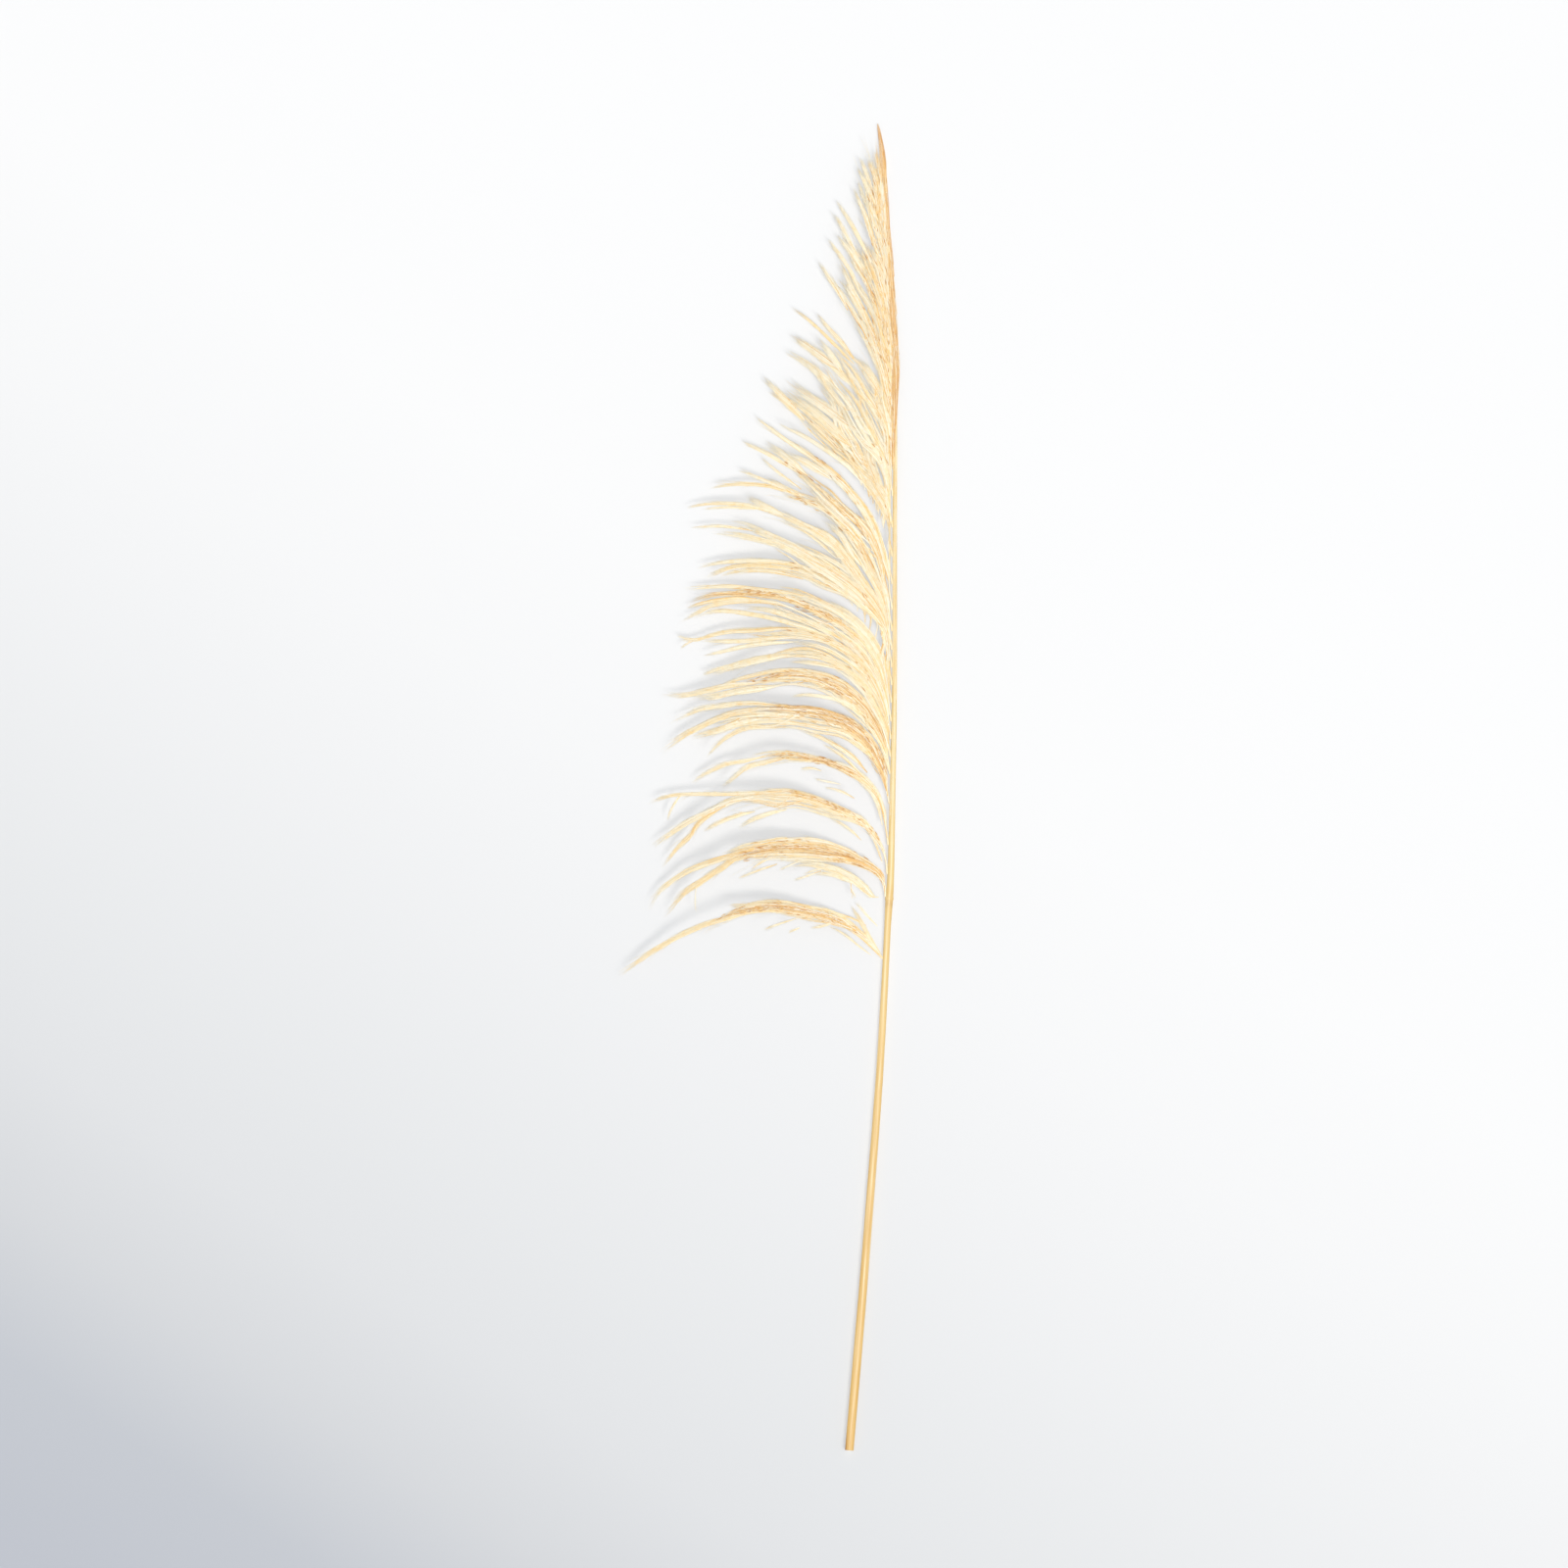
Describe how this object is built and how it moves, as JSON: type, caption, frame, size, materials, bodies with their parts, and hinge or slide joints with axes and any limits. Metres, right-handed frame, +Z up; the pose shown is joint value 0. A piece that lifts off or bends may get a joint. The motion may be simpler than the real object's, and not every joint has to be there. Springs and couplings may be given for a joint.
{
  "type": "dried reed plume",
  "caption": "Dried, bleached one-sided plume of a tall reed grass: a bare cane that runs on as the rachis, with long arching sprays of silky fibres.",
  "frame": {"origin": "under the middle of the whole plume's bounding box, on the surface it lies on", "axes": "+Y along the cane from the cut end to the plume's tip, +Z up from the surface it lies on, the sprays hang to -X"},
  "size_m": [0.2958, 1.3544, 0.0467],
  "materials": {
    "straw": "smooth bleached straw cane, satin, with fine lengthwise streaks, browner at the cut end and tip",
    "cream_fibre": "soft silky dried grass fibres, cream at the ends and golden along the middle of each spray"
  },
  "bodies": {
    "root": {"stem": "straw", "spray_01": "cream_fibre", "spray_02": "cream_fibre", "spray_03": "cream_fibre", "spray_04": "cream_fibre", "spray_05": "cream_fibre", "spray_06": "cream_fibre", "spray_07": "cream_fibre", "spray_08": "cream_fibre", "spray_09": "cream_fibre", "spray_10": "cream_fibre", "spray_11": "cream_fibre", "spray_12": "cream_fibre", "spray_13": "cream_fibre", "spray_14": "cream_fibre", "spray_15": "cream_fibre", "spray_16": "cream_fibre", "spray_17": "cream_fibre", "spray_18": "cream_fibre", "spray_19": "cream_fibre", "spray_20": "cream_fibre", "spray_21": "cream_fibre", "spray_22": "cream_fibre", "spray_23": "cream_fibre", "spray_24": "cream_fibre", "spray_25": "cream_fibre", "spray_26": "cream_fibre"}
  },
  "joints": []
}
